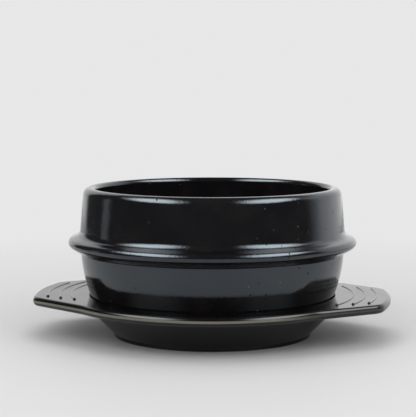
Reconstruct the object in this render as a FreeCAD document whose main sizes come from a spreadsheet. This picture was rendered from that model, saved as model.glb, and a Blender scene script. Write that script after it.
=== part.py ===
import FreeCAD, Part
import math
import os
import Sketcher

# An earthenware stew pot with a rounded flange round its middle, seated in the well of its own under-plate.
# The plate is a shallow bowl on a foot ring, and its brim runs out into two ears to carry it by.
# Millimetres, +Z up. The origin is on the table, on the pot's axis, and +X points to one ear.
# A body's sections are drawn on its XZ plane, where a corner is (distance from the axis, height).

SIZES = (
    # The pot. Its heights are counted from its own base.
    ("pot_height", 98.2, "base to rim"),
    ("belly_diameter", 184.4, "outside, under the flange"),
    ("neck_outset", 0.7, "neck's foot on the flange, beyond the belly"),
    ("lip_inset", 2.65, "outside of the rim, inside the neck's foot"),
    ("wall_thickness", 8.3, "at the rim"),
    ("inside_inset", 4.0, "foot of the inner wall, inside the waist's outside"),
    ("inside_round", 30.0, "between the inner wall and the floor"),
    ("floor_thickness", 9.0, "of the pot"),
    ("lip_outer_round", 5.0, "outer edge of the rim"),
    ("lip_inner_round", 3.0, "inner edge of the rim"),
    ("flange_reach", 12.95, "belly to the flange's corner, before it is rounded"),
    ("flange_height", 52.6, "where the flange leaves the belly"),
    ("flange_under_rise", 7.9, "climb of the flange's underside, out to its corner"),
    ("flange_top_rise", 5.0, "climb of the flange's top, in to the neck"),
    ("flange_corner_round", 3.5, "corner of the flange"),
    ("flange_root_round", 5.0, "hollow between flange and neck"),
    ("flange_under_round", 1.3, "hollow between flange and belly"),
    ("waist_inset", 6.25, "belly to where the pot enters the plate, inwards"),
    ("base_inset", 17.25, "there to the edge of the base, inwards"),
    ("belly_round", 50.0, "radius of the belly's lower bend"),
    ("base_round", 2.5, "edge of the base"),
    # The under-plate. Its heights are counted from the table.
    ("foot_outset", 0.8, "foot ring's outside beyond the edge of the pot's base"),
    ("foot_width", 4.0, "of the foot ring"),
    ("foot_height", 2.8, "up to the ledge round the foot"),
    ("foot_recess", 2.5, "depth of the hollow inside the foot ring"),
    ("foot_ledge", 0.9, "width of the ledge round the foot"),
    ("well_floor", 3.5, "thickness under the pot"),
    ("pot_clearance", 0.6, "between the pot and the well's wall"),
    ("well_mouth_round", 0.8, "edge of the well"),
    ("bowl_outset", 4.05, "bowl's outside under the brim, beyond the pot's waist"),
    ("bowl_root_round", 3.0, "hollow between the bowl and the brim"),
    ("brim_height", 28.9, "table to the top of the brim"),
    ("brim_thickness", 6.2, "of the brim and the ears"),
    ("brim_width", 15.0, "beyond the bowl, between the ears"),
    ("brim_edge_round", 2.7, "both edges of the brim and the ears"),
    ("ear_length", 20.2, "beyond the round brim"),
    ("ear_tip_angle", 17.33, "degrees from the long axis to the ear's sharp corners"),
    ("ear_end_round", 150.0, "radius of the ear's end"),
    ("ear_corner_round", 14.0, "corners of the ear's end"),
    ("ear_root_angle", 41.2, "degrees from the long axis to where the ear's side leaves the brim"),
    ("ear_root_round", 50.0, "hollow where the ear's side leaves the brim"),
    # The grip ribs on the ears, counted inwards from the tip.
    ("rib_inset", 9.6, "ear's tip to the outermost rib"),
    ("rib_pitch", 8.1, "from rib to rib"),
    ("rib_width", 1.5, "at the brim's surface"),
    ("rib_rise", 0.5, "above the brim's surface"),
    ("rib_half_angle", 16.0, "degrees from the long axis to each end of the outermost rib"),
    ("rib_spread", 4.6, "degrees that each end gains from rib to rib"),
    ("pip_width", 2.2, "pip on the front end of a rib"),
    ("pip_rise", 1.1, "above the brim's surface"),
)
RIBS = 3

# Formulas that more than one feature needs, from the cells of the sheet named Sizes.
WELL_LEVEL = "(Sizes.foot_recess + Sizes.well_floor)"
WAIST_LEVEL = "(Sizes.brim_height - Sizes.foot_recess - Sizes.well_floor)"
FLANGE_LEVEL = "(Sizes.flange_height + Sizes.flange_under_rise)"
NECK_LEVEL = "(Sizes.flange_height + Sizes.flange_under_rise + Sizes.flange_top_rise)"
BELLY_RADIUS = "(Sizes.belly_diameter / 2)"
FLANGE_RADIUS = f"({BELLY_RADIUS} + Sizes.flange_reach)"
NECK_RADIUS = f"({BELLY_RADIUS} + Sizes.neck_outset)"
LIP_RADIUS = f"({NECK_RADIUS} - Sizes.lip_inset)"
MOUTH_RADIUS = f"({LIP_RADIUS} - Sizes.wall_thickness)"
WAIST_RADIUS = f"({BELLY_RADIUS} - Sizes.waist_inset)"
BASE_RADIUS = f"({WAIST_RADIUS} - Sizes.base_inset)"
INSIDE_RADIUS = f"({WAIST_RADIUS} - Sizes.inside_inset)"
FOOT_RADIUS = f"({BASE_RADIUS} + Sizes.foot_outset)"
BOWL_RADIUS = f"({WAIST_RADIUS} + Sizes.bowl_outset)"
BRIM_RADIUS = f"({BOWL_RADIUS} + Sizes.brim_width)"
BRIM_UNDERSIDE = "(Sizes.brim_height - Sizes.brim_thickness)"
EAR_TIP = f"({BRIM_RADIUS} + Sizes.ear_length)"

START, END, MIDDLE = range(1, 4)  # the points of a sketch element
ORIGIN, ACROSS_AXIS, UP_AXIS = -1, -1, -2  # the sketch's own origin and axes
NEAR = 0.01  # two places closer than this are the same

document = FreeCAD.newDocument("StewPot")


def make_sheet():
    """Fill the sheet of driving dimensions, one row a size, and name each cell."""
    sheet = document.addObject("Spreadsheet::Sheet", "Sizes")
    for row, (name, number, meaning) in enumerate(SIZES, start=1):
        sheet.set(f"A{row}", name)
        sheet.set(f"B{row}", str(number))
        sheet.set(f"C{row}", meaning)
        sheet.setAlias(f"B{row}", name)
    document.recompute()
    return sheet


def work_out(formula):
    """The number that a formula of the sheet's cells gives now."""
    return float(sizes.evalExpression(formula))


def make_body(name):
    """An empty body, whose label names the piece."""
    body = document.addObject("PartDesign::Body", name)
    body.Label = name
    return body


def origin_plane(body, role):
    """One of a body's own origin planes, by its role."""
    return next(item for item in body.Origin.OriginFeatures if item.Role == role)


def make_sketch(body, name, plane):
    """An empty sketch on one of the body's origin planes."""
    sketch = body.newObject("Sketcher::SketchObject", name)
    sketch.AttachmentSupport = [(origin_plane(body, plane), "")]
    sketch.MapMode = "FlatFace"
    return sketch


def tie_point(sketch, element, point, across, up):
    """Hold a point of a sketch element at the place that two formulas give."""
    for formula, kind, axis in ((across, "DistanceX", UP_AXIS), (up, "DistanceY", ACROSS_AXIS)):
        if formula == "0":
            sketch.addConstraint(Sketcher.Constraint("PointOnObject", element, point, axis))
        else:
            rule = Sketcher.Constraint(kind, ORIGIN, START, element, point, work_out(formula))
            number = sketch.addConstraint(rule)
            sketch.setExpression(f"Constraints[{number}]", formula)


def arc_between(begin, finish, radius):
    """The arc from begin to finish. A positive radius turns to the left, a negative one to the right."""
    chord = finish - begin
    to_left = FreeCAD.Vector(-chord.y, chord.x, 0).normalize()
    offset = math.sqrt(radius**2 - chord.Length**2 / 4)
    centre = (begin + finish) / 2 + to_left * math.copysign(offset, radius)
    circle = Part.Circle(centre, FreeCAD.Vector(0, 0, 1), abs(radius))
    first, last = (begin, finish) if radius > 0 else (finish, begin)
    return Part.ArcOfCircle(circle, circle.parameter(first), circle.parameter(last))


def smooth_radius(begin, finish, heading):
    """Radius of the arc from begin to finish that sets out along a heading."""
    chord = finish - begin
    across = heading.x * chord.y - heading.y * chord.x
    return chord.Length**2 * heading.Length / (2 * across)


def draw_outline(sketch, corners):
    """Draw a closed outline through corners, each (across, up) or (across, up, bend) in formulas.

    A bend makes the side that leaves the corner an arc: its radius, less than 0 where it turns
    to the right, or "smooth" where it carries on from the arc before.
    """
    places = [FreeCAD.Vector(work_out(corner[0]), work_out(corner[1]), 0) for corner in corners]
    sides = []
    radius = 0.0
    for number, corner in enumerate(corners):
        begin = places[number]
        finish = places[(number + 1) % len(places)]
        bend = corner[2] if len(corner) > 2 else None
        if bend is None:
            element = sketch.addGeometry(Part.LineSegment(begin, finish))
            sides.append((element, START, END))
            continue
        if bend == "smooth":
            before = sketch.Geometry[sides[-1][0]]
            spoke = begin - before.Center
            radius = smooth_radius(begin, finish, FreeCAD.Vector(-spoke.y, spoke.x, 0))
        else:
            radius = work_out(bend)
        element = sketch.addGeometry(arc_between(begin, finish, radius))
        sides.append((element, START, END) if radius > 0 else (element, END, START))
    for number, corner in enumerate(corners):
        element, first, _ = sides[number]
        before, _, last = sides[number - 1]
        bend = corner[2] if len(corner) > 2 else None
        if bend == "smooth":
            sketch.addConstraint(Sketcher.Constraint("Tangent", before, last, element, first))
        else:
            sketch.addConstraint(Sketcher.Constraint("Coincident", before, last, element, first))
        if bend not in (None, "smooth"):
            size = abs(work_out(bend))
            number_of_rule = sketch.addConstraint(Sketcher.Constraint("Radius", element, size))
            sketch.setExpression(f"Constraints[{number_of_rule}]", f"abs({bend})")
        tie_point(sketch, element, first, corner[0], corner[1])


def turn(body, kind, name, corners):
    """Turn a section round the body's upright axis: a Revolution adds it, a Groove takes it away."""
    sketch = make_sketch(body, name + "Section", "XZ_Plane")
    draw_outline(sketch, corners)
    feature = body.newObject("PartDesign::" + kind, name)
    feature.Profile = sketch
    feature.ReferenceAxis = (sketch, ["V_Axis"])
    feature.Angle = 360.0
    sketch.Visibility = False
    document.recompute()
    return feature


def ring_edges(feature, radius, height):
    """Names of the round edges about the axis, of one radius at one height."""
    names = []
    for number, edge in enumerate(feature.Shape.Edges, start=1):
        if not isinstance(edge.Curve, Part.Circle):
            continue
        centre = edge.Curve.Center
        on_axis = math.hypot(centre.x, centre.y) < NEAR
        if on_axis and abs(centre.z - height) < NEAR and abs(edge.Curve.Radius - radius) < NEAR:
            names.append(f"Edge{number}")
    return names


def upright_edges(feature, across, along):
    """Names of the straight upright edges at (across, along) and at its mirror images."""
    names = []
    for number, edge in enumerate(feature.Shape.Edges, start=1):
        box = edge.BoundBox
        upright = box.XLength < NEAR and box.YLength < NEAR
        there = abs(abs(box.XMin) - across) < NEAR and abs(abs(box.YMin) - along) < NEAR
        if upright and there:
            names.append(f"Edge{number}")
    return names


def level_edges(feature, height, beyond):
    """Names of the edges that lie at one height, all of them further than beyond from the axis."""
    names = []
    for number, edge in enumerate(feature.Shape.Edges, start=1):
        box = edge.BoundBox
        level = abs(box.ZMin - height) < NEAR and abs(box.ZMax - height) < NEAR
        if level and min(math.hypot(spot.X, spot.Y) for spot in edge.Vertexes) > beyond:
            names.append(f"Edge{number}")
    return names


def round_off(body, feature, name, edges, radius):
    """Round named edges of a feature. The radius is the name of a size."""
    if not edges:
        raise RuntimeError(f"{name} found no edge to round")
    fillet = body.newObject("PartDesign::Fillet", name)
    fillet.Base = (feature, edges)
    fillet.setExpression("Radius", "Sizes." + radius)
    document.recompute()
    return fillet


def make_pot():
    """The pot is one turned piece: base, belly, flange, neck and lip outside, and a plain hollow inside."""
    body = make_body("stew_pot")
    inner_bend_top = "Sizes.floor_thickness + Sizes.inside_round"
    shape = turn(body, "Revolution", "ThrownPot", [
        ("0", "0"),
        (BASE_RADIUS, "0", "Sizes.belly_round"),
        (WAIST_RADIUS, WAIST_LEVEL, "smooth"),
        (BELLY_RADIUS, "Sizes.flange_height"),
        (FLANGE_RADIUS, FLANGE_LEVEL),
        (NECK_RADIUS, NECK_LEVEL),
        (LIP_RADIUS, "Sizes.pot_height"),
        (MOUTH_RADIUS, "Sizes.pot_height"),
        (INSIDE_RADIUS, inner_bend_top, "-Sizes.inside_round"),
        (f"{INSIDE_RADIUS} - Sizes.inside_round", "Sizes.floor_thickness"),
        ("0", "Sizes.floor_thickness"),
    ])
    for name, radius, height, size in (
        ("FlangeCorner", FLANGE_RADIUS, FLANGE_LEVEL, "flange_corner_round"),
        ("FlangeRoot", NECK_RADIUS, NECK_LEVEL, "flange_root_round"),
        ("FlangeUnderRoot", BELLY_RADIUS, "Sizes.flange_height", "flange_under_round"),
        ("LipOuterRound", LIP_RADIUS, "Sizes.pot_height", "lip_outer_round"),
        ("LipInnerRound", MOUTH_RADIUS, "Sizes.pot_height", "lip_inner_round"),
        ("BaseRound", BASE_RADIUS, "0", "base_round"),
    ):
        edges = ring_edges(shape, work_out(radius), work_out(height))
        shape = round_off(body, shape, name, edges, size)
    body.setExpression("Placement.Base.z", WELL_LEVEL)
    return body


def raise_brim(body):
    """The brim is a disc with an ear at each end, cut to one plan and rounded in plan."""
    disc_plan = make_sketch(body, "DiscPlan", "XY_Plane")
    circle = Part.Circle(FreeCAD.Vector(), FreeCAD.Vector(0, 0, 1), work_out(BRIM_RADIUS))
    disc_plan.addGeometry(circle)
    disc_plan.addConstraint(Sketcher.Constraint("Coincident", 0, MIDDLE, ORIGIN, START))
    disc_plan.addConstraint(Sketcher.Constraint("Radius", 0, circle.Radius))
    disc_plan.setExpression("Constraints[1]", BRIM_RADIUS)

    root_across = f"{BRIM_RADIUS} * cos(Sizes.ear_root_angle)"
    root_along = f"{BRIM_RADIUS} * sin(Sizes.ear_root_angle)"
    half_tip = f"{EAR_TIP} * sin(Sizes.ear_tip_angle)"
    corner_across = f"{EAR_TIP} - Sizes.ear_end_round + sqrt(Sizes.ear_end_round ^ 2 - ({half_tip}) ^ 2)"
    ear_plan = make_sketch(body, "EarPlan", "XY_Plane")
    draw_outline(ear_plan, [
        ("0", "0"),
        (root_across, f"-({root_along})"),
        (corner_across, f"-({half_tip})", "Sizes.ear_end_round"),
        (corner_across, half_tip),
        (root_across, root_along),
    ])
    pads = []
    for name, plan in (("Disc", disc_plan), ("Ear", ear_plan)):
        plan.setExpression("AttachmentOffset.Base.z", BRIM_UNDERSIDE)
        pad = body.newObject("PartDesign::Pad", name)
        pad.Profile = plan
        pad.setExpression("Length", "Sizes.brim_thickness")
        plan.Visibility = False
        pads.append(pad)
    document.recompute()
    both_ears = mirror_across(body, "BothEars", [pads[1]])
    roots = upright_edges(both_ears, work_out(root_across), work_out(root_along))
    eased = round_off(body, both_ears, "EarRoots", roots, "ear_root_round")
    corners = upright_edges(eased, work_out(corner_across), work_out(half_tip))
    return round_off(body, eased, "EarCorners", corners, "ear_corner_round")


def mirror_across(body, name, features):
    """Repeat features on the other ear."""
    mirror = body.newObject("PartDesign::Mirrored", name)
    mirror.Originals = features
    mirror.MirrorPlane = (origin_plane(body, "YZ_Plane"), [""])
    body.Tip = mirror
    document.recompute()
    return mirror


def hollow_bowl(body):
    """Under the brim hangs a bowl on a foot ring. Its well follows the pot's belly, a clearance away."""
    turn(body, "Revolution", "Bowl", [
        ("0", "Sizes.foot_recess"),
        (f"{FOOT_RADIUS} - Sizes.foot_width", "Sizes.foot_recess"),
        (f"{FOOT_RADIUS} - Sizes.foot_width", "0"),
        (FOOT_RADIUS, "0"),
        (FOOT_RADIUS, "Sizes.foot_height"),
        (f"{FOOT_RADIUS} + Sizes.foot_ledge", "Sizes.foot_height"),
        (BOWL_RADIUS, BRIM_UNDERSIDE),
        ("0", BRIM_UNDERSIDE),
    ])
    return turn(body, "Groove", "Well", [
        ("0", WELL_LEVEL),
        (f"{BASE_RADIUS} + Sizes.pot_clearance", WELL_LEVEL, "Sizes.belly_round"),
        (f"{WAIST_RADIUS} + Sizes.pot_clearance", "Sizes.brim_height"),
        ("0", "Sizes.brim_height"),
    ])


def add_dome(body, name, width, rise, ring, angle):
    """A low dome on the brim: the top of a ball sunk into it, at a ring and an angle from +X."""
    ball = body.newObject("PartDesign::AdditiveSphere", name)
    ball.AttachmentSupport = [(origin_plane(body, "XY_Plane"), "")]
    ball.MapMode = "FlatFace"
    ball.setExpression("Radius", cap_radius(width, rise))
    ball.setExpression("AttachmentOffset.Base.x", f"{ring} * cos({angle})")
    ball.setExpression("AttachmentOffset.Base.y", f"{ring} * sin({angle})")
    ball.setExpression("AttachmentOffset.Base.z", cap_level(width, rise))
    return ball


def cap_radius(width, rise):
    """Formula for the radius of a round cap of this width and rise."""
    return f"(({width}) ^ 2 / 4 + ({rise}) ^ 2) / (2 * ({rise}))"


def cap_level(width, rise):
    """Formula for the height of that cap's centre when it stands on the brim."""
    return f"Sizes.brim_height + ({rise}) - {cap_radius(width, rise)}"


def add_rib(body, ear, number):
    """One grip rib: the top of a ring sunk into the ear, with a rounded back end and a pip in front."""
    ring = f"({EAR_TIP} - Sizes.rib_inset - {number} * Sizes.rib_pitch)"
    reach = f"(Sizes.rib_half_angle + {number} * Sizes.rib_spread)"
    if ear == "Right":
        begin, back, front = f"(-{reach})", reach, f"(-{reach})"
    else:
        begin, back, front = f"(180 - {reach})", f"(180 - {reach})", f"(180 + {reach})"
    rib = body.newObject("PartDesign::AdditiveTorus", f"{ear}Rib{number}")
    rib.AttachmentSupport = [(origin_plane(body, "XY_Plane"), "")]
    rib.MapMode = "FlatFace"
    rib.AttachmentOffset.Rotation.Axis = FreeCAD.Vector(0, 0, 1)
    rib.setExpression("Radius1", ring)
    rib.setExpression("Radius2", cap_radius("Sizes.rib_width", "Sizes.rib_rise"))
    rib.setExpression("Angle3", f"2 * {reach}")
    rib.setExpression("AttachmentOffset.Base.z", cap_level("Sizes.rib_width", "Sizes.rib_rise"))
    rib.setExpression("AttachmentOffset.Rotation.Angle", begin)
    add_dome(body, f"{ear}RibEnd{number}", "Sizes.rib_width", "Sizes.rib_rise", ring, back)
    add_dome(body, f"{ear}Pip{number}", "Sizes.pip_width", "Sizes.pip_rise", ring, front)


def make_plate():
    """The under-plate: brim and ears, bowl and well, rounded edges, and the grip ribs."""
    body = make_body("base_plate")
    raise_brim(body)
    shape = hollow_bowl(body)
    bowl_radius = work_out(BOWL_RADIUS)
    brim_edges = level_edges(shape, work_out("Sizes.brim_height"), bowl_radius)
    brim_edges += level_edges(shape, work_out(BRIM_UNDERSIDE), bowl_radius + NEAR)
    shape = round_off(body, shape, "BrimEdges", brim_edges, "brim_edge_round")
    mouth_radius = work_out(f"{WAIST_RADIUS} + Sizes.pot_clearance")
    mouth = ring_edges(shape, mouth_radius, work_out("Sizes.brim_height"))
    shape = round_off(body, shape, "WellMouth", mouth, "well_mouth_round")
    root = ring_edges(shape, bowl_radius, work_out(BRIM_UNDERSIDE))
    shape = round_off(body, shape, "BowlRoot", root, "bowl_root_round")
    for ear in ("Right", "Left"):
        for number in range(RIBS):
            add_rib(body, ear, number)
    document.recompute()
    return body


def check_document(pieces):
    """Stop if any object failed, any sketch is loose, or a piece isn't one valid solid."""
    document.recompute()
    for item in document.Objects:
        if "Invalid" in item.State or "Error" in item.State:
            raise RuntimeError(f"{item.Name} failed: {item.State}")
        if item.isDerivedFrom("Sketcher::SketchObject") and not item.FullyConstrained:
            raise RuntimeError(f"{item.Name} isn't held by its dimensions")
    for piece in pieces:
        if piece.Shape.isNull() or not piece.Shape.isValid() or len(piece.Shape.Solids) != 1:
            raise RuntimeError(f"{piece.Label} isn't one valid solid")


sizes = make_sheet()
pieces = [make_pot(), make_plate()]
check_document(pieces)
os.makedirs("parts", exist_ok=True)
for piece in pieces:
    piece.Shape.exportStep(f"parts/{piece.Label}.step")
    box = piece.Shape.optimalBoundingBox()
    print(piece.Label, f"{box.XLength:.1f} x {box.YLength:.1f} x {box.ZLength:.1f} mm,",
          f"{piece.Shape.Volume / 1000:.1f} cm3")
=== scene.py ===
# %% [markdown]
# # An earthenware stew pot on its under-plate
# The pot is thrown and glazed nearly black, and it sits in the well of a moulded black plate with two ears.
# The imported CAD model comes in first. Its nodes say where everything is, and they are never moved.

# %% Load the CAD frame
import math

import bmesh
import bpy
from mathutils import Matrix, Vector


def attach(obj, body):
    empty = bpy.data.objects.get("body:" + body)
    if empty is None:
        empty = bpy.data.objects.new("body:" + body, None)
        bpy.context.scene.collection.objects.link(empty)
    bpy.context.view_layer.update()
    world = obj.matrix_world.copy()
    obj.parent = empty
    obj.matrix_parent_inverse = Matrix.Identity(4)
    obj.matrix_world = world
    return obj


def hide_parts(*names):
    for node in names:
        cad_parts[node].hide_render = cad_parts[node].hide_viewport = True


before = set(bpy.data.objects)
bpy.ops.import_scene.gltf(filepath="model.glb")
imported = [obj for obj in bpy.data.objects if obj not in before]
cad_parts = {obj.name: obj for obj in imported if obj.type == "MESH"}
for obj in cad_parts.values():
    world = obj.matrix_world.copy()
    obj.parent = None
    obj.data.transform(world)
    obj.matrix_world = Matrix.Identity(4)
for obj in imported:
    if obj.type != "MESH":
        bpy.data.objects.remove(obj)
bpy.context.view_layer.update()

# %% [markdown]
# Blender works in metres here and a potter thinks in millimetres, so every size is written in millimetres
# and one name turns it into metres. A section is drawn as on paper: one vertex is pulled through the
# corners like a pen. Extrude draws the straight runs, and the spin tool draws each arc about its true
# centre. A Bezier curve could draw it too, but its arcs are only nearly round, and a gloss shows that.

# %% A pen for outlines
MM = 0.001
ARC_STEP = math.radians(7)  # an edge of an arc turns no more than this
LONGEST_EDGE = 2.5  # and is no longer than this
SMALL = 0.001  # shorter than this isn't drawn, and closer than this is one vertex
ORIGIN = Vector((0, 0, 0))
UPRIGHT = Vector((0, 0, 1))


def start_outline(name, place):
    """A mesh of one vertex at a place, open in edit mode."""
    if bpy.context.object and bpy.context.object.mode == "EDIT":
        bpy.ops.object.mode_set(mode="OBJECT")
    bpy.ops.object.select_all(action="DESELECT")
    bpy.ops.mesh.primitive_plane_add(size=MM)
    bpy.context.object.name = name
    bpy.ops.object.mode_set(mode="EDIT")
    bpy.ops.mesh.select_mode(type="VERT")
    bpy.ops.mesh.merge(type="CENTER")
    bpy.ops.transform.translate(value=place * MM)
    return place


def line_to(pen, place):
    """Pull the last vertex straight to a place."""
    if (place - pen).length > SMALL:
        bpy.ops.mesh.extrude_region_move(TRANSFORM_OT_translate={"value": (place - pen) * MM})
    return place


def arc_to(pen, place, centre, axis):
    """Swing the last vertex about a centre to a place, by the short way round."""
    first, last = pen - centre, place - centre
    angle = math.atan2(axis.dot(first.cross(last)), first.dot(last))
    steps = max(2, math.ceil(abs(angle) / ARC_STEP), math.ceil(abs(angle) * last.length / LONGEST_EDGE))
    # The spin tool counts its angle clockwise.
    bpy.ops.mesh.spin(steps=steps, angle=-angle, center=centre * MM, axis=axis, use_auto_merge=False)
    return place


print("longest edge of an arc:", LONGEST_EDGE, "mm")

# %% [markdown]
# A turned piece is a section swung once round, as on a potter's wheel. Each corner of a section is
# (radius, height, round). A fourth number is the radius of the arc that leads to the corner from the one
# before. The Screw modifier could turn it as well, but Spin leaves a plain mesh at once, whose seam and
# poles are then closed by merging what lies together.

# %% Arcs in a section
TURN_STEPS = 256  # a side of about two millimetres on the widest ring
SQUARE_TO_SECTION = Vector((0, 1, 0))


def chord_centre(begin, finish, radius):
    """Centre of the arc of this radius from begin to finish, to the left of the way."""
    chord = finish - begin
    to_left = Vector((-chord.z, 0, chord.x)).normalized()
    return (begin + finish) / 2 + to_left * math.sqrt(radius**2 - chord.length_squared / 4)


def heading(begin, finish, radius, at_finish):
    """Direction of travel at an end of a run, straight if it has no radius."""
    if not radius:
        return (finish - begin).normalized()
    spoke = (finish if at_finish else begin) - chord_centre(begin, finish, radius)
    return Vector((-spoke.z, 0, spoke.x)).normalized()


print("a turned ring has", TURN_STEPS, "sides")

# %% [markdown]
# The pen goes from corner to corner. Where a corner is rounded, it stops short of it by the round's
# tangent, and then swings about the round's own centre, so the arc leaves both runs without a kink.

# %% Drawing and turning a section


def draw_section(name, corners):
    """Draw an open section through corners and leave it in edit mode."""
    corners = [(*corner, 0, 0)[:4] for corner in corners]  # sharp, and on a straight run, if not said
    places = [Vector((across, 0, up)) for across, up, _, _ in corners]
    pen = start_outline(name, places[0])
    for number in range(1, len(corners)):
        before, corner = places[number - 1], places[number]
        _, _, radius, bulge = corners[number]
        arrive = heading(before, corner, bulge, True)
        stop = corner
        if radius:
            leave = heading(corner, places[number + 1], corners[number + 1][3], False)
            stop = corner - arrive * radius * math.tan(arrive.angle(leave) / 2)
        if bulge:
            pen = arc_to(pen, stop, chord_centre(before, corner, bulge), SQUARE_TO_SECTION)
        else:
            pen = line_to(pen, stop)
        if radius:
            inside = (leave - arrive * arrive.dot(leave)).normalized()
            past = corner + leave * (corner - stop).length
            pen = arc_to(pen, past, stop + inside * radius, SQUARE_TO_SECTION)


def turn_section(name, corners):
    """A shell turned from an open section about the upright axis, still in edit mode."""
    draw_section(name, corners)
    bpy.ops.mesh.select_all(action="SELECT")
    bpy.ops.mesh.spin(steps=TURN_STEPS, angle=math.tau, center=ORIGIN, axis=UPRIGHT)
    bpy.ops.mesh.select_all(action="SELECT")
    bpy.ops.mesh.remove_doubles(threshold=SMALL * MM)
    print(name, "is turned, with", len(corners), "corners in its section")
    return bpy.context.object


# %% [markdown]
# A modifier is put on and applied at once, so that each piece ends as a plain mesh. Smooth shading blends
# the faces of a round into one surface. Weighted normals then keep the flat runs flat beside it, where
# smooth shading alone would show a false hollow.

# %% Modifiers and smoothing
SHARP = math.radians(40)  # an edge sharper than this stays an edge


def take_up(*pieces):
    """Select these pieces alone, with the first one active."""
    bpy.ops.object.select_all(action="DESELECT")
    for piece in pieces:
        piece.select_set(True)
    bpy.context.view_layer.objects.active = pieces[0]


def modify(piece, name, kind, **settings):
    """Put a modifier on a piece and apply it."""
    take_up(piece)
    modifier = piece.modifiers.new(name, kind)
    for setting, value in settings.items():
        setattr(modifier, setting, value)
    bpy.ops.object.modifier_apply(modifier=modifier.name)


def face_outwards_and_smooth(piece):
    """In edit mode, turn every face of a piece outwards. Then smooth it and leave edit mode."""
    bpy.ops.mesh.select_all(action="SELECT")
    bpy.ops.mesh.normals_make_consistent(inside=False)
    bpy.ops.object.mode_set(mode="OBJECT")
    bpy.ops.object.shade_smooth_by_angle(angle=SHARP)
    modify(piece, "FlatRunsStayFlat", "WEIGHTED_NORMAL", keep_sharp=True)
    print(piece.name, len(piece.data.polygons), "faces, box",
          [round(size / MM, 1) for size in piece.dimensions], "mm")


print("edges over", round(math.degrees(SHARP)), "degrees stay sharp")

# %% [markdown]
# The pot is one turned piece of earthenware, thrown on a wheel: base, belly, a rounded flange to lift it
# by, neck and lip. The CAD solid has the same section, but its facets would show in a glossy glaze, so a
# finer shell takes its place. The sizes are those of the solid.

# %% The pot
WELL_FLOOR = 6  # the pot stands on the floor of the plate's well
BRIM_TOP = 28.9
RIM = 104.2
pot_corners = [
    (0, WELL_FLOOR),
    (68.7, WELL_FLOOR, 2.5),  # edge of the base
    (85.95, BRIM_TOP, 0, 50),  # the waist, where the belly enters the plate
    (92.2, 58.6, 1.3, 103.3),  # hollow under the flange
    (105.15, 66.5, 3.5),  # the flange's corner
    (92.9, 71.5, 5),  # foot of the neck
    (90.25, RIM, 5),
    (81.95, RIM, 3),
    (81.95, 15, 30),  # the wide round inside
    (0, 15),
]
pot = turn_section("Pot", pot_corners)
face_outwards_and_smooth(pot)

# %% [markdown]
# The under-plate is pressed in one piece. Its plan is a disc with an ear at each side. One quarter of
# that outline is drawn with the pen and mirrored twice, so that both ears are truly alike. It could be cut
# from a wider slab with a Boolean too, but an outline of true arcs takes a clean bevel.

# %% Plan of the brim
DISC = 105  # radius of the brim between the ears
EAR_TIP = Vector((125.2, 0, 0))
EAR_END = 150  # radius of the ear's end
EAR_CORNER_ANGLE = math.radians(17.33)  # from the long axis to the ear's corners, before they are rounded
EAR_CORNER = 14  # and their round
EAR_ROOT_ANGLE = math.radians(41.2)  # from the long axis to where the ear's side leaves the disc
EAR_ROOT = 50  # and the round of the hollow there

end_hub = EAR_TIP - Vector((EAR_END, 0, 0))
half_end = EAR_TIP.x * math.sin(EAR_CORNER_ANGLE)
ear_corner = end_hub + Vector((math.sqrt(EAR_END**2 - half_end**2), half_end, 0))
ear_root = DISC * Vector((math.cos(EAR_ROOT_ANGLE), math.sin(EAR_ROOT_ANGLE), 0))
side = (ear_root - ear_corner).normalized()
inwards = Vector((-side.y, side.x, 0))


def touching(offset, hub, reach):
    """Centre of a round beside the ear's side, an offset away from it, and a reach away from a hub."""
    start = ear_corner + inwards * offset - hub
    back = start.dot(side)
    return hub + start + side * (-back - math.sqrt(back**2 - start.length_squared + reach**2))


corner_centre = touching(EAR_CORNER, end_hub, EAR_END - EAR_CORNER)
root_centre = touching(-EAR_ROOT, ORIGIN, DISC + EAR_ROOT)
pen = start_outline("UnderPlate", EAR_TIP)
pen = arc_to(pen, end_hub + (corner_centre - end_hub).normalized() * EAR_END, end_hub, UPRIGHT)
pen = arc_to(pen, corner_centre - inwards * EAR_CORNER, corner_centre, UPRIGHT)
pen = line_to(pen, root_centre + inwards * EAR_ROOT)
pen = arc_to(pen, root_centre.normalized() * DISC, root_centre, UPRIGHT)
arc_to(pen, Vector((0, DISC, 0)), ORIGIN, UPRIGHT)
bpy.ops.object.mode_set(mode="OBJECT")
plate = bpy.context.object
modify(plate, "OtherQuarters", "MIRROR", use_axis=(True, True, False), merge_threshold=SMALL * MM)
print("outline of the brim:", len(plate.data.vertices), "corners")

# %% [markdown]
# The outline is filled and raised to a slab, and its two edges are bevelled round. The flat top and
# underside are then taken out, because the well and the bowl need room in them. A face is picked in edit
# mode by where it lies, since there is no mouse here to pick it with.

# %% The brim
BRIM_UNDER = 22.7
BRIM_EDGE = 2.7  # round of both edges
BRIM_EDGE_FACES = 8  # across each round
SAME_LEVEL = 0.01


def pick(mode, test, open_only=False):
    """In edit mode, select only the edges or faces whose every corner passes a test.

    With open_only, an edge must also be the border of an opening.
    """
    bpy.ops.mesh.select_mode(type=mode)
    bpy.ops.mesh.select_all(action="DESELECT")
    mesh = bmesh.from_edit_mesh(bpy.context.object.data)
    for part in mesh.edges if mode == "EDGE" else mesh.faces:
        chosen = all(test(corner.co) for corner in part.verts)
        part.select_set(chosen and (not open_only or part.is_boundary))
    mesh.select_flush_mode()
    bmesh.update_edit_mesh(bpy.context.object.data)


def level(height):
    """A test that passes places at one height."""
    return lambda place: abs(place.z / MM - height) < SAME_LEVEL


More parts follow.
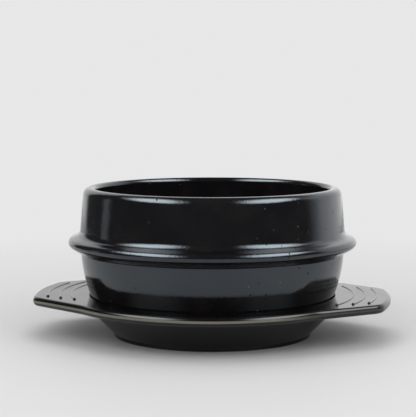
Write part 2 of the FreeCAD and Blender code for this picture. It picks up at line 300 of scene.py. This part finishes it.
bpy.ops.object.mode_set(mode="EDIT")
bpy.ops.mesh.select_all(action="SELECT")
bpy.ops.transform.translate(value=UPRIGHT * BRIM_UNDER * MM)
bpy.ops.mesh.edge_face_add()
bpy.ops.mesh.extrude_region_move(
    TRANSFORM_OT_translate={"value": UPRIGHT * (BRIM_TOP - BRIM_UNDER) * MM})
for height in (BRIM_TOP, BRIM_UNDER):
    pick("EDGE", level(height))
    bpy.ops.mesh.bevel(offset=BRIM_EDGE * MM, segments=BRIM_EDGE_FACES, affect="EDGES")
for height in (BRIM_TOP, BRIM_UNDER):
    pick("FACE", level(height))
    bpy.ops.mesh.delete(type="FACE")
bpy.ops.object.mode_set(mode="OBJECT")
print("slab of the brim:", len(plate.data.polygons), "faces")

# %% [markdown]
# The well follows the pot's belly with 0.6 mm to spare, and the bowl hangs under the brim on a foot ring.
# Both are turned like the pot, then joined to the brim, and the flat rings between them are filled.

# %% Well, bowl and foot ring
LEDGE = 2.8  # height of the ledge round the foot ring
RECESS = 2.5  # height of the plate's underside inside the foot ring
well_corners = [
    (0, WELL_FLOOR),
    (69.3, WELL_FLOOR),
    (86.55, BRIM_TOP, 0.8, 50),  # mouth of the well
    (87.8, BRIM_TOP),
]
bowl_corners = [
    (93, BRIM_UNDER),
    (90, BRIM_UNDER, 3),  # hollow between the brim and the bowl
    (70.4, LEDGE),
    (69.5, LEDGE),
    (69.5, 0, 0.4),  # foot ring, outside
    (65.5, 0, 0.4),  # and inside
    (65.5, RECESS),
    (0, RECESS),
]
well = turn_section("Well", well_corners)
bowl = turn_section("Bowl", bowl_corners)
bpy.ops.object.mode_set(mode="OBJECT")
take_up(plate, well, bowl)
bpy.ops.object.join()
bpy.ops.object.mode_set(mode="EDIT")
for height in (BRIM_TOP, BRIM_UNDER):
    pick("EDGE", level(height), open_only=True)
    bpy.ops.mesh.fill(use_beauty=True)
bpy.ops.mesh.select_all(action="SELECT")
bpy.ops.mesh.normals_make_consistent(inside=False)
bpy.ops.object.mode_set(mode="OBJECT")
print("plate without its ribs:", len(plate.data.polygons), "faces")

# %% [markdown]
# Three ribs on each ear keep a thumb from slipping. Each is a low bead along a ring about the pot, with a
# round back end, and a pip in front that stands a little prouder. They are round bars and balls sunk into
# the brim, so only their tops show, and a Boolean joins them to it. A bump in the material would be less
# work, but the ribs' shine and their edges need the real form. The left ear's are a mirrored copy.

# %% Grip ribs
RIBS = 3
RIB_INSET = 9.6  # ear's tip to the outermost rib
RIB_PITCH = 8.1
RIB_HALF_ANGLE = 16  # degrees from the long axis to each end of the outermost rib
RIB_SPREAD = 4.6  # degrees that each end gains from rib to rib
RIB_RADIUS = 0.81
RIB_SUNK = 0.31  # depth of the bar's middle under the brim's top, so that 0.5 mm of it shows
RIB_SIDES = 20
RIB_STEPS = 36
BACK_END_RADIUS = 0.826  # a little more than the bar's, so that their faces don't coincide
PIP_RADIUS = 1.1


def add_ball(place, radius):
    """Add a ball and return it."""
    bpy.ops.mesh.primitive_uv_sphere_add(segments=24, ring_count=16, radius=radius * MM, location=place * MM)
    return bpy.context.object


def add_rib(number):
    """The bar, pip and back end of one rib of the right ear, counted from the tip."""
    ring = EAR_TIP.x - RIB_INSET - RIB_PITCH * number
    reach = math.radians(RIB_HALF_ANGLE + RIB_SPREAD * number)
    front = Vector((ring * math.cos(reach), -ring * math.sin(reach), BRIM_TOP))
    back = Vector((ring * math.cos(reach), ring * math.sin(reach), BRIM_TOP))
    sunk = UPRIGHT * RIB_SUNK
    bpy.ops.mesh.primitive_circle_add(vertices=RIB_SIDES, radius=RIB_RADIUS * MM, fill_type="NGON",
                                      location=(front - sunk) * MM, rotation=(math.pi / 2, 0, -reach))
    bar = bpy.context.object
    bpy.ops.object.transform_apply(location=True, rotation=True, scale=True)
    bpy.ops.object.mode_set(mode="EDIT")
    bpy.ops.mesh.select_all(action="SELECT")
    bpy.ops.mesh.spin(steps=RIB_STEPS, angle=-2 * reach, center=ORIGIN, axis=UPRIGHT, use_auto_merge=False)
    bpy.ops.mesh.select_all(action="SELECT")
    bpy.ops.mesh.normals_make_consistent(inside=False)
    bpy.ops.object.mode_set(mode="OBJECT")
    return [bar, add_ball(front, PIP_RADIUS), add_ball(back - sunk, BACK_END_RADIUS)]


print("a rib stands", round(RIB_RADIUS - RIB_SUNK, 2), "mm above the brim")

# %% [markdown]
# A Boolean leaves a few slivers where two edges nearly meet, so what lies together is merged after it.

# %% Ribs on the ears
rib_parts = [part for number in range(RIBS) for part in add_rib(number)]
take_up(*rib_parts)
bpy.ops.object.join()
ribs = bpy.context.object
modify(ribs, "OtherEar", "MIRROR")
modify(plate, "RibsOn", "BOOLEAN", operation="UNION", object=ribs, solver="EXACT", use_self=True)
bpy.data.objects.remove(ribs)
bpy.ops.object.mode_set(mode="EDIT")
bpy.ops.mesh.select_all(action="SELECT")
bpy.ops.mesh.remove_doubles(threshold=SMALL * MM)
face_outwards_and_smooth(plate)

# %% [markdown]
# Colours are written as they are read off a screen, and the shaders want linear light. Textures hang on
# object coordinates, which are metres here, so a pattern's scale is one over the real size of its marks.
# One helper adds any node, with its inputs by name, so a material reads like a list of what it is made of.

# %% Colour and node helpers


def linear(hex_colour):
    """The linear colour of an sRGB hex string."""
    parts = [int(hex_colour[start:start + 2], 16) / 255 for start in (1, 3, 5)]
    return [part / 12.92 if part <= 0.04045 else ((part + 0.055) / 1.055) ** 2.4 for part in parts] + [1]


def marks_of(millimetres):
    """Texture scale for marks of about this size."""
    return 1 / (millimetres * MM)


def add_node(tree, kind, inputs, **settings):
    """Add a shader node. An input takes a value, an output, or a node for its first output in use."""
    made = tree.nodes.new("ShaderNode" + kind)
    for name, value in settings.items():
        setattr(made, name, value)
    for name, value in inputs.items():
        if isinstance(value, bpy.types.Node):
            value = next(output for output in value.outputs if output.enabled)
        if isinstance(value, bpy.types.NodeSocket):
            tree.links.new(value, made.inputs[name])
        else:
            made.inputs[name].default_value = value
    return made


def new_tree(owner):
    """Turn on the nodes of a material or world and empty its tree."""
    owner.use_nodes = True
    owner.node_tree.nodes.clear()
    return owner.node_tree


def dress(piece, material):
    """Give a piece its one material."""
    piece.data.materials.clear()
    piece.data.materials.append(material)
    print(piece.name, "is dressed in", material.name, "of", len(material.node_tree.nodes), "nodes")


print("mid grey in linear light:", round(linear("#808080")[0], 3))

# %% [markdown]
# The glaze is a black iron glaze, fired until it ran smooth. Up close it is never quite even: it lies a
# little wavy over the throwing marks, it has a fine orange peel, a few gas bubbles left pinholes in it,
# and the iron shows as a brown cast where the glaze is thin. The waves and the peel bend the reflections,
# and that is most of what tells fired clay from plastic, so both go into the bump. A potter wipes the
# glaze thin toward the base, so that it can't run and stick, and that band shines less.

# %% Iron glaze: colour
glaze = bpy.data.materials.new("IronGlazedEarthenware")
tree = new_tree(glaze)
place = add_node(tree, "TexCoord", {}).outputs["Object"]
cast = add_node(tree, "TexNoise", {"Vector": place, "Scale": marks_of(18), "Detail": 4})
thin = add_node(tree, "MapRange", {"Value": cast, "From Min": 0.42, "From Max": 0.68},
                interpolation_type="SMOOTHSTEP")
colour = add_node(tree, "Mix", {"Factor": thin, "A": linear("#121113"), "B": linear("#191616")},
                  data_type="RGBA")
print("brown cast: patches of about 18 mm")

# %% [markdown]
# Painted glints and pinholes are few and lie anywhere. A painted glint is a small pale spot in the colour,
# standing in for the glint of a tiny bump in the glaze, and a pinhole is a bubble that broke late. A Voronoi
# pattern gives each cell a middle and a number. The number says whether the cell has a
# mark, and the distance from the middle draws it. A smooth step draws its soft edge, and when one end of
# the step is itself a yes or no, the two are as good as multiplied.

# %% Iron glaze: painted glints and pinholes
CELL = 5
PAINTED_GLINT_SHARE = 0.12  # of the cells
PINHOLE_SHARE = 0.35  # of the cells
cells = add_node(tree, "TexVoronoi", {"Vector": place, "Scale": marks_of(CELL), "Randomness": 1.0})
lot = add_node(tree, "SeparateColor", {"Color": cells.outputs["Color"]})  # a number for each cell
glinting_cell = add_node(tree, "Math", {0: lot, 1: 1 - PAINTED_GLINT_SHARE}, operation="GREATER_THAN")
painted_glint = add_node(tree, "MapRange", {
    "Value": cells, "From Min": 0.25 / CELL, "From Max": 0.4 / CELL, "To Min": glinting_cell, "To Max": 0},
    interpolation_type="SMOOTHSTEP")
# Painted highlight: the pale glint spots are mixed into the glaze's colour here.
colour = add_node(tree, "Mix", {"Factor": painted_glint, "A": colour, "B": linear("#848280")}, data_type="RGBA")
unpricked = add_node(tree, "Math", {0: lot, 1: PINHOLE_SHARE}, operation="GREATER_THAN")
glazed = add_node(tree, "MapRange", {
    "Value": cells, "From Min": 0.4 / CELL, "From Max": 0.65 / CELL, "To Min": unpricked, "To Max": 1},
    interpolation_type="SMOOTHSTEP")
print("specks in", PAINTED_GLINT_SHARE, "and pinholes in", PINHOLE_SHARE, "of the cells")

# %% [markdown]
# The relief is built from coarse to fine: throwing waves, orange peel, pinholes. A pinhole has no shine of
# its own, and the wiped band over the plate has less than the rest.

# %% Iron glaze: relief and shine
WIPED_BELOW = 38.5  # height over which the glaze grows to its full thickness
FULL_ABOVE = 42
waves = add_node(tree, "TexNoise", {"Vector": place, "Scale": marks_of(22), "Detail": 1})
peel = add_node(tree, "TexNoise", {"Vector": place, "Scale": marks_of(1.6), "Detail": 2})
bump = add_node(tree, "Bump", {"Height": waves, "Strength": 1.0, "Distance": 0.25 * MM})
bump = add_node(tree, "Bump", {"Height": peel, "Strength": 1.0, "Distance": 0.06 * MM, "Normal": bump})
bump = add_node(tree, "Bump", {"Height": glazed, "Strength": 1.0, "Distance": 0.08 * MM, "Normal": bump})
sheen = add_node(tree, "MapRange", {
    "Value": peel, "From Min": 0.3, "From Max": 0.7, "To Min": 0.07, "To Max": 0.13},
    interpolation_type="SMOOTHSTEP")
shine = add_node(tree, "MapRange", {
    "Value": add_node(tree, "SeparateXYZ", {0: place}).outputs["Z"],
    "From Min": WIPED_BELOW * MM, "From Max": FULL_ABOVE * MM, "To Min": 0.18, "To Max": 0.5},
    interpolation_type="SMOOTHSTEP")
shine = add_node(tree, "Math", {0: glazed, 1: shine}, operation="MULTIPLY")
shader = add_node(tree, "BsdfPrincipled", {
    "Base Color": colour, "Roughness": sheen, "IOR": 1.65, "Normal": bump,
    "Specular Tint": (0.76, 0.9, 1.0, 1), "Specular IOR Level": shine})
add_node(tree, "OutputMaterial", {"Surface": shader})
dress(pot, glaze)

# %% [markdown]
# The under-plate is pressed from black melamine, which copies the mould: smooth, less bright than glaze,
# with a very faint grain. A painted black would be flatter, so a haze moves its colour and shine a little.

# %% Black melamine
melamine = bpy.data.materials.new("BlackMelamine")
tree = new_tree(melamine)
place = add_node(tree, "TexCoord", {}).outputs["Object"]
axes = add_node(tree, "SeparateXYZ", {0: place})
# The real grain is finer, and is drawn as coarse as it has to be to show.
grain = add_node(tree, "TexNoise", {"Vector": place, "Scale": marks_of(0.8), "Detail": 2})
bump = add_node(tree, "Bump", {"Height": grain, "Strength": 1.0, "Distance": 0.008 * MM})
haze = add_node(tree, "TexNoise", {"Vector": place, "Scale": marks_of(30), "Detail": 2})
sheen = add_node(tree, "MapRange", {
    "Value": haze, "From Min": 0.3, "From Max": 0.7, "To Min": 0.13, "To Max": 0.18},
    interpolation_type="SMOOTHSTEP")
colour = add_node(tree, "Mix", {"Factor": haze, "A": linear("#0b0b0b"), "B": linear("#0f0f0f")},
                  data_type="RGBA")
print("haze: patches of about 30 mm")

# %% [markdown]
# Round the middle of the brim's rounded edge a pale band is painted into the colour: a painted highlight
# line, faintest on the right ear, and rougher than the rest. It could be a stripe of a second material, but
# its edges are soft. So it is drawn by height, and it wavers a little because the haze moves that height.

# %% The painted highlight line
LINE_UNDER, LINE_TOP = 25.2, 27.2  # heights that it lies between
LINE_RADIUS = 92  # further in, the well and the bowl pass these heights too
wavering = add_node(tree, "Math", {0: haze, 1: 0.4 * MM, 2: axes.outputs["Z"]}, operation="MULTIPLY_ADD")
flat = add_node(tree, "VectorMath", {0: place, 1: (1, 1, 0)}, operation="MULTIPLY")
radius = add_node(tree, "VectorMath", {0: flat}, operation="LENGTH")
on_brim = add_node(tree, "Math", {0: radius, 1: LINE_RADIUS * MM}, operation="GREATER_THAN")
# The painted highlight fades toward the right ear.
painted_highlight_fade = add_node(tree, "MapRange", {
    "Value": axes.outputs["X"], "From Min": 50 * MM, "From Max": 82 * MM, "To Min": 1, "To Max": 0.25},
    interpolation_type="SMOOTHSTEP")
line = add_node(tree, "MapRange", {
    "Value": wavering, "From Min": LINE_UNDER * MM, "From Max": (LINE_UNDER + 0.3) * MM,
    "To Min": 0, "To Max": painted_highlight_fade}, interpolation_type="SMOOTHSTEP")
line = add_node(tree, "MapRange", {
    "Value": wavering, "From Min": (LINE_TOP - 0.5) * MM, "From Max": LINE_TOP * MM,
    "To Min": line, "To Max": 0}, interpolation_type="SMOOTHSTEP")
line = add_node(tree, "Math", {0: line, 1: on_brim}, operation="MULTIPLY")
# Painted highlight: the pale band is mixed into the plate's colour here.
colour = add_node(tree, "Mix", {"Factor": line, "A": colour, "B": linear("#67655a")}, data_type="RGBA")
sheen = add_node(tree, "Math", {0: line, 1: 0.3, 2: sheen}, operation="MULTIPLY_ADD")
shader = add_node(tree, "BsdfPrincipled", {
    "Base Color": colour, "Roughness": sheen, "IOR": 1.42, "Normal": bump})
add_node(tree, "OutputMaterial", {"Surface": shader})
dress(plate, melamine)

# %% [markdown]
# Both pieces ride on the one body, and each stands for its own CAD node.

# %% The pieces stand for their nodes
stand_ins = (
    (pot, "stew_pot", "glazed_earthenware"),
    (plate, "base_plate", "black_melamine"),
)
for piece, cad_node, slot in stand_ins:
    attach(piece, "root")
    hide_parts(cad_node)
    print(piece.name, "stands for", cad_node)

# %% [markdown]
# The camera stands a metre off and looks down on the rim a little, with the lens of a shop picture. The
# plate's long side is turned a few degrees from the picture's, so the camera stands to the right of its
# middle.

# %% Camera
CAMERA_PLACE = Vector((0.1358, -1.0108, 0.1886))  # metres
LOOKS_DOWN = 0.09766  # radians
LOOKS_LEFT = 0.13655
LENS = 125.8  # millimetres, on a sensor of 36 mm

TOWARD_CAMERA = Vector((CAMERA_PLACE.x, CAMERA_PLACE.y, 0)).normalized()
TO_THE_RIGHT = Vector((-TOWARD_CAMERA.y, TOWARD_CAMERA.x, 0))
lens = bpy.data.cameras.new("Camera")
lens.lens = LENS
camera = bpy.data.objects.new("Camera", lens)
camera.location = CAMERA_PLACE
camera.rotation_euler = (math.pi / 2 - LOOKS_DOWN, 0, LOOKS_LEFT)
bpy.context.scene.collection.objects.link(camera)
bpy.context.scene.camera = camera
print("camera:", round(CAMERA_PLACE.length, 2), "m from the pot")

# %% [markdown]
# A glossy black thing shows nothing but its surroundings, so the studio is the other half of this look.
# The backdrop is pale to the camera and in reflections. Between two long softboxes, left and right, the
# room in front is dark, and that gives the black its depth. A picture of a real studio could be hung round
# the pot instead, but here the world draws the room by direction: how far round from the camera, and how
# high. Each softbox is a soft oval that leans from low in front to high over the pot, which is why its
# streak on the rim swells and then runs out to a point.

# %% The line of sight
LEFT, RIGHT = -1, 1

world = bpy.data.worlds.new("Studio")
bpy.context.scene.world = world
tree = new_tree(world)
sight = add_node(tree, "TexCoord", {}).outputs["Generated"]


def way(turn, height):
    """The direction at a turn from the camera and a height above level, in degrees."""
    turned, raised = math.radians(turn), math.radians(height)
    ahead = TOWARD_CAMERA * math.cos(turned) + TO_THE_RIGHT * math.sin(turned)
    return ahead * math.cos(raised) + UPRIGHT * math.sin(raised)


def along(direction):
    """How much of the line of sight points along a direction."""
    return add_node(tree, "VectorMath", {0: sight, 1: direction}, operation="DOT_PRODUCT")


turn_seen = add_node(tree, "Math", {0: along(TO_THE_RIGHT), 1: along(TOWARD_CAMERA)}, operation="ARCTAN2")
turn_seen = add_node(tree, "Math", {0: turn_seen}, operation="DEGREES")
height_seen = add_node(tree, "Math", {0: along(UPRIGHT)}, operation="ARCSINE")
height_seen = add_node(tree, "Math", {0: height_seen}, operation="DEGREES")
print("toward the camera:", [round(part, 3) for part in TOWARD_CAMERA])

# %% [markdown]
# A softbox is measured from its own middle, along its long side and across it, as shares of its size. The
# length of the two together is how far out in the oval the line of sight falls. The glow is full up to
# half the oval's size and gone at one and a half times it.

# %% Softboxes
SOFTBOX_TURN = 63  # degrees round from the camera to the middle of the softbox
SOFTBOX_HEIGHT = 44.5  # degrees up from level to its middle
SOFTBOX_LEAN = math.radians(38)  # from level to its long side, low end in front
SOFTBOX_LENGTH = 0.48  # sine of the angle from its middle to its end
SOFTBOX_WIDTH = 0.285  # and to its long edge
SOFTBOX_GLOW = 8


def softbox_glow(side):
    """Brightness of the softbox on one side, full in its middle and fading to its edge."""
    middle = way(side * SOFTBOX_TURN, SOFTBOX_HEIGHT)
    forward = way(side * (SOFTBOX_TURN - 90), 0)
    down = way(side * SOFTBOX_TURN, SOFTBOX_HEIGHT - 90)
    lengthwise = forward * math.cos(SOFTBOX_LEAN) + down * math.sin(SOFTBOX_LEAN)
    crosswise = forward * math.sin(SOFTBOX_LEAN) - down * math.cos(SOFTBOX_LEAN)
    shares = add_node(tree, "CombineXYZ", {
        0: along(lengthwise / SOFTBOX_LENGTH), 1: along(crosswise / SOFTBOX_WIDTH)})
    off_middle = add_node(tree, "VectorMath", {0: shares}, operation="LENGTH")
    oval = add_node(tree, "MapRange", {
        "Value": off_middle, "From Min": 0.5, "From Max": 1.5, "To Min": SOFTBOX_GLOW, "To Max": 0},
        interpolation_type="SMOOTHSTEP")
    # The shares are as small behind the pot, straight opposite, and it has to stay dark there.
    return add_node(tree, "MapRange", {
        "Value": along(middle), "From Min": 0, "From Max": 0.1, "To Min": 0, "To Max": oval},
        interpolation_type="SMOOTHSTEP")


glows = [softbox_glow(LEFT), softbox_glow(RIGHT)]
print("softboxes:", len(glows))

# %% [markdown]
# The backdrop is a pale panel behind the pot on each side. It reaches further round on the right, and
# beside the left softbox a dim gap of it shows.

# %% Backdrop panels
LOW_EDGE, LOW_SOFT = -20, 4  # degrees: every panel's lower edge, and how far it fades to each side
HIGH_SOFT = 8


def panel_glow(side, near, far, high, soft, glow):
    """Brightness of a panel from near to far degrees to one side of the camera, and up to high."""
    turned = add_node(tree, "Math", {0: turn_seen, 1: side}, operation="MULTIPLY")
    for seen, edge, fade in ((turned, near, soft), (height_seen, LOW_EDGE, LOW_SOFT)):
        glow = add_node(tree, "MapRange", {
            "Value": seen, "From Min": edge - fade, "From Max": edge + fade, "To Min": 0, "To Max": glow},
            interpolation_type="SMOOTHSTEP")
    for seen, edge, fade in ((turned, far, soft), (height_seen, high, HIGH_SOFT)):
        glow = add_node(tree, "MapRange", {
            "Value": seen, "From Min": edge - fade, "From Max": edge + fade, "To Min": glow, "To Max": 0},
            interpolation_type="SMOOTHSTEP")
    return glow


glows += [
    panel_glow(LEFT, near=142, far=190, high=40, soft=5, glow=0.85),
    panel_glow(RIGHT, near=100, far=190, high=40, soft=13, glow=1.05),
    panel_glow(LEFT, near=101, far=110, high=12, soft=2, glow=0.45),
]
print("softboxes and panels:", len(glows))

# %% [markdown]
# One world plays three parts. A reflection sees the room with its glows. The camera sees an even, pale
# backdrop. A matt surface takes even light from all round, and gets its direction from the lamps.

# %% World
DARK_ROOM = 0.06
AMBIENT = 0.46
BACKDROP = 0.80  # linear, a pale grey near white

room = DARK_ROOM
for glow in glows:
    room = add_node(tree, "Math", {0: room, 1: glow}, operation="ADD")
ray = add_node(tree, "LightPath", {})
strength = add_node(tree, "Mix", {"Factor": ray.outputs["Is Glossy Ray"], "A": AMBIENT, "B": room},
                    data_type="FLOAT")
strength = add_node(tree, "Mix", {"Factor": ray.outputs["Is Camera Ray"], "A": strength, "B": BACKDROP},
                    data_type="FLOAT")
air = add_node(tree, "Background", {"Color": (1, 1, 1, 1), "Strength": strength})
add_node(tree, "OutputWorld", {"Surface": air})
bpy.context.scene.view_settings.view_transform = "Standard"
print("world:", len(tree.nodes), "nodes")

# %% [markdown]
# The table is a sheet of white paper that sweeps up behind the pot. A curved sheet could be modelled, but
# a flat one that fades does the same: near the pot it is lit like any matt sheet and keeps the shadow, and
# further off, only for the camera, it turns into the backdrop.

# %% Table
SHEET_RADIUS = 1.15  # metres
FADE_FROM, FADE_TO = 0.12, 0.65  # metres from the pot's axis

bpy.ops.mesh.primitive_circle_add(vertices=96, radius=SHEET_RADIUS, fill_type="NGON")
table = bpy.context.object
table.name = "PaperSweep"
paper = bpy.data.materials.new("WhitePaper")
tree = new_tree(paper)
place = add_node(tree, "TexCoord", {}).outputs["Object"]
# The sheet's unevenness is drawn coarser than its fibres, which don't show from here.
fibres = add_node(tree, "TexNoise", {"Vector": place, "Scale": marks_of(3), "Detail": 2})
bump = add_node(tree, "Bump", {"Height": fibres, "Strength": 1.0, "Distance": 0.01 * MM})
shader = add_node(tree, "BsdfPrincipled", {
    "Base Color": linear("#dcdbdc"), "Roughness": 0.6, "IOR": 1.3, "Normal": bump})
pale = add_node(tree, "Emission", {"Strength": BACKDROP})
distance = add_node(tree, "VectorMath", {0: place}, operation="LENGTH")
seen_by_camera = add_node(tree, "LightPath", {}).outputs["Is Camera Ray"]
away = add_node(tree, "MapRange", {
    "Value": distance, "From Min": FADE_FROM, "From Max": FADE_TO, "To Min": 0, "To Max": seen_by_camera},
    interpolation_type="SMOOTHSTEP")
sheet = add_node(tree, "MixShader", {0: away, 1: shader, 2: pale})
add_node(tree, "OutputMaterial", {"Surface": sheet})
dress(table, paper)

# %% [markdown]
# The lamps are the same softboxes as the paper sees them, a little nearer to the camera, and the light
# they throw on the ceiling behind the pot. That one draws the dark under the ears forward, as in any
# picture lit from over the back. The level is one where a matt colour comes out as it is written.
# Reflections leave the lamps out, because the world already draws both softboxes there, with their soft
# edges.

# %% Lamps
LAMP_DISTANCE = 1.4  # metres
FRONT_TURN, FRONT_HEIGHT = 40, 36  # degrees
FRONT_SIZE, FRONT_WATTS = (1.4, 0.9), 6.4
CEILING_TURN, CEILING_HEIGHT = 180, 76
CEILING_SIZE, CEILING_WATTS = (1.0, 0.8), 5.5


def add_lamp(name, turn, height, size, watts):
    """A rectangular lamp at a turn from the camera and a height above level, facing the pot."""
    light = bpy.data.lights.new(name, "AREA")
    light.shape = "RECTANGLE"
    light.size, light.size_y = size
    light.energy = watts
    lamp = bpy.data.objects.new(name, light)
    lamp.location = way(turn, height) * LAMP_DISTANCE
    lamp.rotation_euler = lamp.location.to_track_quat("Z", "Y").to_euler()
    lamp.visible_glossy = False
    lamp.visible_camera = False
    bpy.context.scene.collection.objects.link(lamp)
    print(name, watts, "W at", [round(part, 2) for part in lamp.location])


add_lamp("SoftboxLeft", LEFT * FRONT_TURN, FRONT_HEIGHT, FRONT_SIZE, FRONT_WATTS)
add_lamp("SoftboxRight", RIGHT * FRONT_TURN, FRONT_HEIGHT, FRONT_SIZE, FRONT_WATTS)
add_lamp("CeilingBounce", CEILING_TURN, CEILING_HEIGHT, CEILING_SIZE, CEILING_WATTS)
